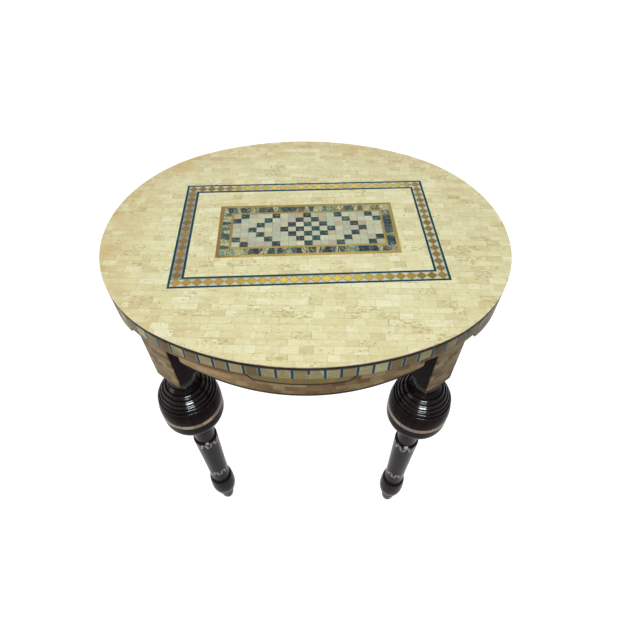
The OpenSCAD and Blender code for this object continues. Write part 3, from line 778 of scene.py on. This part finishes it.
ground = {
    "tones": [(0.30, (0.50, 0.51, 0.38)), (0.50, (0.62, 0.63, 0.43)), (0.70, (0.54, 0.56, 0.43))],
    "inColumn": (0.300, 0.290, 0.270), "columnFade": (-200, 60), "overlap": 5,
    "inStrip": (0.140, 0.113, 0.060),
    "outline": (0.22, 0.15, 0.05), "outlineTo": (1.04, 1.28), "outlineStrength": 0.6,
    "half": ((0.07, 0.07, 1), 1, 0.5), "grain": ((0.4, 0.4, 0.3), 3, 0.65),
    "light": (0.68, 0.60),
}


def groundFinish():
    # pale green and grey shell between the diamonds, greyer in the columns to the left
    finish = Finish("groundShell")
    x, y, z = finish.place()
    u, v = onInlay(x, y)
    measure = diamondCell(u, v)[2]
    onTop = z > oval["topFrom"]
    half = finish.pattern((u, v, 2.0), ground["half"])
    colour = finish.ramp(half, ground["tones"])
    inColumn = (abs(v) < inlay["bandY"] - ground["overlap"]) * onTop
    colour = finish.mix(inColumn * (0 - u).rise(*ground["columnFade"]), colour, ground["inColumn"])
    grain = finish.pattern((u, v, z), ground["grain"])
    least, fromGrain = ground["light"]
    colour = finish.brighten(colour, least + grain * fromGrain)
    colour = finish.mix(z < oval["topFrom"], colour, ground["inStrip"])
    nearDiamond = (1 - measure.rise(*ground["outlineTo"])) * onTop
    colour = finish.mix(nearDiamond * ground["outlineStrength"], colour, ground["outline"])
    return finish.end({
        "Base Color": colour,
        "Roughness": 0.32 + grain * 0.1,
        "Normal": finish.bump(grain, 0.1),
        "Specular IOR Level": 0.06,
        "Coat Weight": onTop * 0.8,
        "Coat Roughness": 0.25,
    })


frameGold = {
    "lengthLong": 31, "lengthShort": 26,       # of the butted pieces
    "front": (0.44, 0.32, 0.070), "back": (0.35, 0.26, 0.055), "backFrom": (-60, 20),
    "left": (0.27, 0.165, 0.030), "leftFrom": (95, 125),
    "grain": ((0.05, 0.5, 1), 4, 0.65), "grainMove": 9,
    "light": (0.62, 0.30, 0.44),
}


def frameFinish():
    # the two frames of the centre panel, strips of golden shell butted end to end
    finish = Finish("panelGold")
    x, y = finish.place()[:2]
    u, v = onInlay(x, y)
    look = frameGold
    column, row = (u / look["lengthLong"]).floor(), (v / look["lengthShort"]).floor()
    tone, first = finish.chance(column, row, seeds["frames"])[:2]
    grain = finish.pattern((u, v, 0.3), look["grain"], (first * look["grainMove"], None, None))
    colour = finish.mix(v.rise(*look["backFrom"]), look["front"], look["back"])
    colour = finish.mix((0 - u).rise(*look["leftFrom"]), colour, look["left"])
    least, fromTone, fromGrain = look["light"]
    colour = finish.brighten(colour, least + tone * fromTone + grain * fromGrain)
    return finish.end({
        "Base Color": colour,
        "Roughness": 0.32 + grain * 0.12,
        "Normal": finish.bump(grain, 0.15),
        "Coat Weight": 0.2,
    })


abaloneTones = [
    (0.00, (0.008, 0.016, 0.022)),
    (0.15, (0.014, 0.048, 0.062)),
    (0.28, (0.050, 0.150, 0.140)),
    (0.38, (0.230, 0.330, 0.190)),
    (0.47, (0.540, 0.550, 0.260)),
    (0.56, (0.110, 0.110, 0.060)),
    (0.66, (0.014, 0.030, 0.050)),
    (0.78, (0.620, 0.600, 0.300)),
    (0.88, (0.090, 0.095, 0.110)),
    (1.00, (0.030, 0.090, 0.080)),
]
darkCellTones = [
    (0.00, (0.010, 0.026, 0.024)),
    (0.22, (0.014, 0.068, 0.055)),
    (0.40, (0.020, 0.095, 0.090)),
    (0.56, (0.022, 0.045, 0.085)),
    (0.74, (0.060, 0.140, 0.090)),
    (0.88, (0.040, 0.042, 0.034)),
    (1.00, (0.028, 0.048, 0.080)),
]


def abalonePiece(u, v):
    # number of the slanted piece under a point of the abalone border, and the row that it is in
    longRow = abs(v) > inlay["abaloneInner"]
    halfAcross = inlay["across"] / 2
    rows = []
    acrossLong = abs(v) - inlay["abaloneInner"] - halfAcross
    acrossShort = inlay["abaloneLong"] / 2 - halfAcross - abs(u)
    for along, across, rowLength, count in (
            (u, acrossLong, inlay["abaloneLong"], inlay["piecesLong"]),
            (v, acrossShort, inlay["abaloneShort"], inlay["piecesShort"])):
        pitch = rowLength / count
        place = along / pitch + count / 2
        cut = (place + 0.5).floor()
        way = 1 - (cut * 0.5).part() * 4
        side = (v > 0) * 2 - 1 if along is u else (u > 0) * -2 + 1
        leaning = way * inlay["lean"] * across * side / halfAcross
        beyond = (along - (cut - count / 2) * pitch) > leaning
        rows.append(cut - 1 + beyond)
    side = longRow.choose(u > 0, v > 0)
    return longRow.choose(rows[1], rows[0]), side + longRow * 2


bands = {
    "lean": 2.4,                          # the most that a band slants, to either side
    "wave": ((0.12, 0.12, 1), 3, 0.7), "waveMove": 20,
    "band": ((0.30, 2, 1), 3, 0.65), "bandMove": (30, 9),
    "flame": ((0.14, 0.38, 1), 3, 0.7), "flameMove": (30, 40), "flameLean": 0.3,
    "flameFrom": (0.3, 0.7), "streakFrom": (0.54, 0.64), "streakColour": (0.30, 0.38, 0.27),
}


def abaloneFinish(name, tones, locateCell, seed, depth):
    # bands of blue, green and cream that bend across each small piece
    finish = Finish(name)
    x, y = finish.place()[:2]
    u, v = onInlay(x, y)
    tone, first, second = finish.chance(*locateCell(u, v), seed)
    lean = (first - 0.5) * bands["lean"]
    move = bands["waveMove"]
    wave = finish.pattern((u, v, seed), bands["wave"], (second * move, tone * move, None))
    moveAlong, moveAcross = bands["bandMove"]
    band = finish.pattern((u + v * lean, wave, seed), bands["band"],
                          (first * moveAlong, second * moveAcross, None))
    colour = finish.ramp(tone * 0.9 + (band - 0.5) * depth["drift"] + 0.05, tones)
    flameLean = bands["flameLean"]
    moveAlong, moveAcross = bands["flameMove"]
    flame = finish.pattern((u - v * lean * flameLean, v + u * lean * flameLean, seed + 5),
                           bands["flame"], (second * moveAlong, tone * moveAcross, None))
    lit = flame.rise(*bands["flameFrom"]) * depth["flame"]
    colour = finish.brighten(colour, depth["least"] + lit)
    streak = flame.rise(*bands["streakFrom"]) * depth["streak"]
    colour = finish.mix(streak, colour, bands["streakColour"])
    return finish.end({
        "Base Color": colour,
        "Roughness": 0.20 + band * 0.12,
        "Metallic": 0.1,
        "Normal": finish.bump(flame, 0.1),
        "Coat Weight": 0.3,
        "Coat Roughness": 0.08,
    })


def checkerCell(u, v):
    # the middle cell lies round the middle of the inlay and has the number "middle" both ways
    middle = 100
    return ((u / inlay["cellLength"] + middle + 0.5).floor(),
            (v / inlay["cellWidth"] + middle + 0.5).floor())


paleCells = {
    "tones": [
        (0.00, (0.57, 0.60, 0.41)), (0.22, (0.48, 0.52, 0.38)), (0.42, (0.60, 0.60, 0.38)),
        (0.58, (0.45, 0.44, 0.34)), (0.74, (0.64, 0.66, 0.44)), (0.90, (0.48, 0.39, 0.25)),
        (1.00, (0.50, 0.54, 0.43)),
    ],
    "lines": ((0.16, 0.6, 1), 3, 0.6), "linesMove": (30, 50), "light": (0.50, 0.92),
}


def paleCellFinish():
    # pale pieces with a soft pink or green cast
    finish = Finish("paleCells")
    x, y = finish.place()[:2]
    u, v = onInlay(x, y)
    tone, first, second = finish.chance(*checkerCell(u, v), seeds["paleCells"])
    colour = finish.ramp(tone, paleCells["tones"])
    moveAlong, moveAcross = paleCells["linesMove"]
    lines = finish.pattern((u, v + u * (first - 0.5), 0.5), paleCells["lines"],
                           (second * moveAlong, tone * moveAcross, None))
    least, fromLines = paleCells["light"]
    colour = finish.brighten(colour, least + lines * fromLines)
    return finish.end({
        "Base Color": colour,
        "Roughness": 0.28 + lines * 0.1,
        "Normal": finish.bump(lines, 0.1),
        "Coat Weight": 0.2,
    })


stringLook = {
    "grain": ((0.3, 0.3, 0.3), 4, 0.6), "patch": ((0.045, 0.045, 0.045), 2, 0.5),
    "share": 0.6, "lightFrom": (0.35, 0.85),
}


def stringFinish(name, dark, light, roughness=0.3):
    # thin strip of dyed horn or resin, lighter and darker along its way
    finish = Finish(name)
    place = finish.place()
    grain = finish.pattern(place, stringLook["grain"])
    patch = finish.pattern(place, stringLook["patch"])
    both = grain * stringLook["share"] + patch * stringLook["share"]
    return finish.end({
        "Base Color": finish.mix(both.rise(*stringLook["lightFrom"]), dark, light),
        "Roughness": roughness + grain * 0.15,
        "Normal": finish.bump(grain, 0.1),
        "Specular IOR Level": 0.05,
    })


legShell = {
    "drumFrom": 320, "pieces": 19,           # height of the drum's ring, and the pieces in it
    "ring": [
        (0.00, (0.30, 0.20, 0.11)), (0.25, (0.21, 0.17, 0.085)), (0.45, (0.38, 0.31, 0.18)),
        (0.65, (0.20, 0.16, 0.165)), (0.82, (0.26, 0.145, 0.085)), (1.00, (0.33, 0.27, 0.155)),
    ],
    "strokes": [(0.35, (0.17, 0.14, 0.115)), (0.65, (0.30, 0.275, 0.24))],
    # the patterns run round the leg, by its angle, and over its height
    "stroke": ((4, 0.1, 0.1), 2, 0.5), "grain": ((30, 0.5, 0.1), 3, 0.65),
    "light": (0.66, 0.6),
}


def legShellFinish(name, axis):
    # ring on the drum in pieces of several colours, paler strokes in the bands below
    finish = Finish(name)
    x, y, z = finish.place()
    angle = (y - axis.y).maths("ARCTAN2", x - axis.x)
    onDrum = z > legShell["drumFrom"]
    piece = (angle * (legShell["pieces"] / (2 * math.pi)) + 40).floor()
    ring = finish.ramp(finish.chance(piece, 1.0, axis.x)[0], legShell["ring"])
    around = (angle, z, axis.x)
    strokes = finish.ramp(finish.pattern(around, legShell["stroke"]), legShell["strokes"])
    grain = finish.pattern(around, legShell["grain"])
    least, fromGrain = legShell["light"]
    colour = finish.brighten(finish.mix(onDrum, strokes, ring), least + grain * fromGrain)
    return finish.end({
        "Base Color": colour,
        "Roughness": 0.3 + grain * 0.12,
        "Normal": finish.bump(grain, 0.12),
        "Specular IOR Level": 0.1,
    })


# wood, metal and nylon

lacquerLook = {
    "tones": [(0.30, (0.0045, 0.0028, 0.0030)), (0.55, (0.0090, 0.0050, 0.0050)),
              (0.80, (0.022, 0.010, 0.009))],
    "rings": ((0.16, 0.16, 0.012), 4, 0.6), "pores": ((0.9, 0.9, 0.05), 2, 0.5),
    "wear": ((0.02, 0.02, 0.02), 3, 0.6),
    # gloss over the leg's height in metres: foot, shaft, drum, its beaded dome, block
    "polish": [(0.090, 0.10), (0.310, 0.30), (0.345, 0.04), (0.432, 0.04),
               (0.446, 0.95), (0.472, 0.95), (0.482, 0.0)],
}


def lacquerFinish():
    # very dark brown wood under a glossy lacquer
    finish = Finish("darkLacquer")
    place = finish.place()
    rings = finish.pattern(place, lacquerLook["rings"])
    pores = finish.pattern(place, lacquerLook["pores"])
    wear = finish.pattern(place, lacquerLook["wear"])
    colour = finish.ramp(rings, lacquerLook["tones"])
    polish = [(height, (gloss,) * 3) for height, gloss in lacquerLook["polish"]]
    return finish.end({
        "Base Color": finish.brighten(colour, 0.7 + wear * 0.6),
        "Roughness": 0.16 + wear * 0.10 + pores * 0.05,
        "Normal": finish.bump(rings * 0.6 + pores * 0.2, 0.06),
        "Specular IOR Level": 0.018,
        "Coat Weight": finish.ramp(place[2] * 0.001, polish),
        "Coat Roughness": 0.12,
        "Coat IOR": 1.22,
    })


woodLook = {
    "tones": [(0.25, (0.016, 0.010, 0.007)), (0.5, (0.034, 0.021, 0.014)),
              (0.75, (0.060, 0.036, 0.022))],
    "grain": ((0.012, 0.22, 0.22), 5, 0.65), "pores": ((0.05, 1.4, 1.4), 2, 0.6),
}


def bareWoodFinish():
    # the unseen underside: stained wood, little gloss
    finish = Finish("stainedWood")
    place = finish.place()
    grain = finish.pattern(place, woodLook["grain"])
    pores = finish.pattern(place, woodLook["pores"])
    colour = finish.ramp(grain, woodLook["tones"])
    return finish.end({
        "Base Color": finish.brighten(colour, 0.75 + pores * 0.5),
        "Roughness": 0.5 + grain * 0.2,
        "Normal": finish.bump(grain * 0.6 + pores * 0.5, 0.2),
    })


steelLook = {
    "tones": [(0.3, (0.42, 0.42, 0.44)), (0.7, (0.60, 0.60, 0.62))],
    "scratch": ((2, 2, 0.2), 3, 0.6),
}


def steelFinish():
    finish = Finish("screwSteel")
    scratch = finish.pattern(finish.place(), steelLook["scratch"])
    return finish.end({
        "Base Color": finish.ramp(scratch, steelLook["tones"]),
        "Metallic": 1.0,
        "Roughness": 0.3 + scratch * 0.2,
    })


nylonLook = {
    "tones": [(0.3, (0.20, 0.20, 0.20)), (0.7, (0.30, 0.30, 0.29))],
    "mottle": ((0.25, 0.25, 0.25), 3, 0.6),
}


def nylonFinish():
    finish = Finish("gliderNylon")
    mottle = finish.pattern(finish.place(), nylonLook["mottle"])
    return finish.end({
        "Base Color": finish.ramp(mottle, nylonLook["tones"]),
        "Roughness": 0.5 + mottle * 0.2,
        "Normal": finish.bump(mottle, 0.2),
    })


def dress(names, material):
    for name in names:
        data = nodes[name].data
        data.materials.clear()
        data.materials.append(material)


lacquer = lacquerFinish()
dress(["top_board", "glue_blocks"], bareWoodFinish())
dress(["border_outer_string", "border_inner_string"],
      stringFinish("blueString", (0.007, 0.038, 0.058), (0.020, 0.090, 0.118)))
dress(["edge_bars"], stringFinish("barBlue", (0.004, 0.022, 0.034), (0.009, 0.054, 0.084)))
dress(["rim_string", "front_strip_string"],
      stringFinish("blackString", (0.006, 0.0035, 0.0035), (0.030, 0.010, 0.007), 0.45))
dress(["border_diamonds", "front_strip_diamonds"], goldFinish())
dress(["border_ground", "front_strip_ground"], groundFinish())
dress(["panel_outer_frame", "panel_inner_frame"], frameFinish())
dress(["panel_abalone_border"], abaloneFinish(
    "abaloneBorder", abaloneTones, abalonePiece, seeds["abalone"],
    {"drift": 0.55, "least": 0.55, "flame": 0.95, "streak": 0.42}))
dress(["checker_dark_cells"], abaloneFinish(
    "darkCells", darkCellTones, checkerCell, seeds["darkCells"],
    {"drift": 0.25, "least": 0.45, "flame": 0.8, "streak": 0.6}))
dress(["checker_light_cells"], paleCellFinish())
# in each look the left-end value is painted light with a tan tone, and the right-end value is
# painted shade
dress(["edge_pearl_band"], edgeFinish(
    "edgePearl", {"level": 0.88, "litAndTanLeftEnd": 0.05, "shadedRightEnd": -0.18, "lowLine": 0, "topLine": 0.95}))
dress(["apron_" + side + "_pearl" for side in sides], edgeFinish(
    "railPearl", {"level": 0.96, "litAndTanLeftEnd": 0.95, "shadedRightEnd": -0.05, "lowLine": 0.9, "topLine": 0}))
dress(["block_pearl_" + corner for corner in corners], edgeFinish(
    "blockPearl", {"level": 0.86, "litAndTanLeftEnd": 0.08, "shadedRightEnd": -0.06, "lowLine": 0, "topLine": 0}))
dress(["apron_" + side for side in sides], lacquer)
dress(["leg_" + corner for corner in corners], lacquer)
dress(["glide_" + corner for corner in corners], nylonFinish())
dress(["board_screws"], steelFinish())
for corner in corners:
    low, high = millimetres("glide_" + corner)
    dress(["leg_shell_" + corner], legShellFinish("legShell_" + corner, (low + high) / 2))
print("finishes made")


# floor, sky and lamps

floorLook = {
    "reach": 14,
    "glow": 0.86,               # what the camera, mirrors and glass see on top of the lit colour
    "tones": [(0.3, (0.44, 0.44, 0.44)), (0.7, (0.46, 0.46, 0.46))],
    "speck": ((0.01, 0.01, 1), 2, 0.5),
}


def addFloor(look):
    mesh = bpy.data.meshes.new("floor")
    reach = look["reach"]
    edges = [(-reach, -reach, 0), (reach, -reach, 0), (reach, reach, 0), (-reach, reach, 0)]
    mesh.from_pydata(edges, [], [(0, 1, 2, 3)])
    floor = bpy.data.objects.new("floor", mesh)
    bpy.context.scene.collection.objects.link(floor)
    finish = Finish("paleFloor")
    x, y = finish.place()[:2]
    speck = finish.pattern((x, y, 0.0), look["speck"])
    seen = finish.add("ShaderNodeLightPath", out="Is Camera Ray")
    mirrored = finish.add("ShaderNodeLightPath", out="Is Glossy Ray")
    through = finish.add("ShaderNodeLightPath", out="Is Transmission Ray")
    glow = (look["glow"],) * 3
    finish.end({
        "Base Color": finish.ramp(speck, look["tones"]),
        "Roughness": 0.9,
        "Emission Color": finish.mix(seen.atLeast(mirrored).atLeast(through), (0.0, 0.0, 0.0), glow),
        "Emission Strength": 1.0,
        "Specular IOR Level": 0.0,
    })
    mesh.materials.append(finish.material)


lamps = {
    # name: place, aim, width and height in metres, power in watts
    "overhead": ((0.10, 0.00, 1.85), (0, 0, 0.5), (0.9, 0.9), 7.0),
    "front": ((0.03, -1.00, 0.90), (0, 0, 0.45), (0.30, 0.20), 3.2),
    "left": ((-1.60, -0.70, 1.20), (0, 0, 0.5), (0.8, 0.8), 8.5),
    "gleam": ((0.12, -1.00, 0.58), (0, 0, 0.45), (0.38, 0.28), 38.0),
}
# the gleam is the bluish highlight on the lacquer, and lights no matt surface
gleamColour = (0.84, 0.95, 1.0)
sky = {"above": 0.14, "level": 1.0}      # brightness straight up and at the horizon


def addLamp(name, place, aim, size, power):
    data = bpy.data.lights.new(name, "AREA")
    data.shape = "RECTANGLE"
    data.size, data.size_y = size
    data.energy = power
    lamp = bpy.data.objects.new(name, data)
    lamp.location = place
    lamp.rotation_euler = (Vector(aim) - Vector(place)).to_track_quat("-Z", "Y").to_euler()
    if name == "gleam":
        lamp.visible_diffuse = False
        data.color = gleamColour
    bpy.context.scene.collection.objects.link(lamp)


def addSky(look):
    world = bpy.data.worlds.new("sky")
    bpy.context.scene.world = world
    world.use_nodes = True
    world.node_tree.nodes.clear()
    net = Net(world.node_tree)
    way = net.add("ShaderNodeTexCoord", out="Generated")
    height = net.split(way)[2]
    stops = [(0.0, (look["level"],) * 3), (1.0, (look["above"],) * 3)]
    colour = net.add("ShaderNodeValToRGB", {"stops": stops}, [height])
    glow = net.add("ShaderNodeBackground", {}, {"Color": colour, "Strength": 1.0})
    net.add("ShaderNodeOutputWorld", {}, {"Surface": glow})


addFloor(floorLook)
for name, lamp in lamps.items():
    addLamp(name, *lamp)
addSky(sky)
print("floor, sky and lamps set")
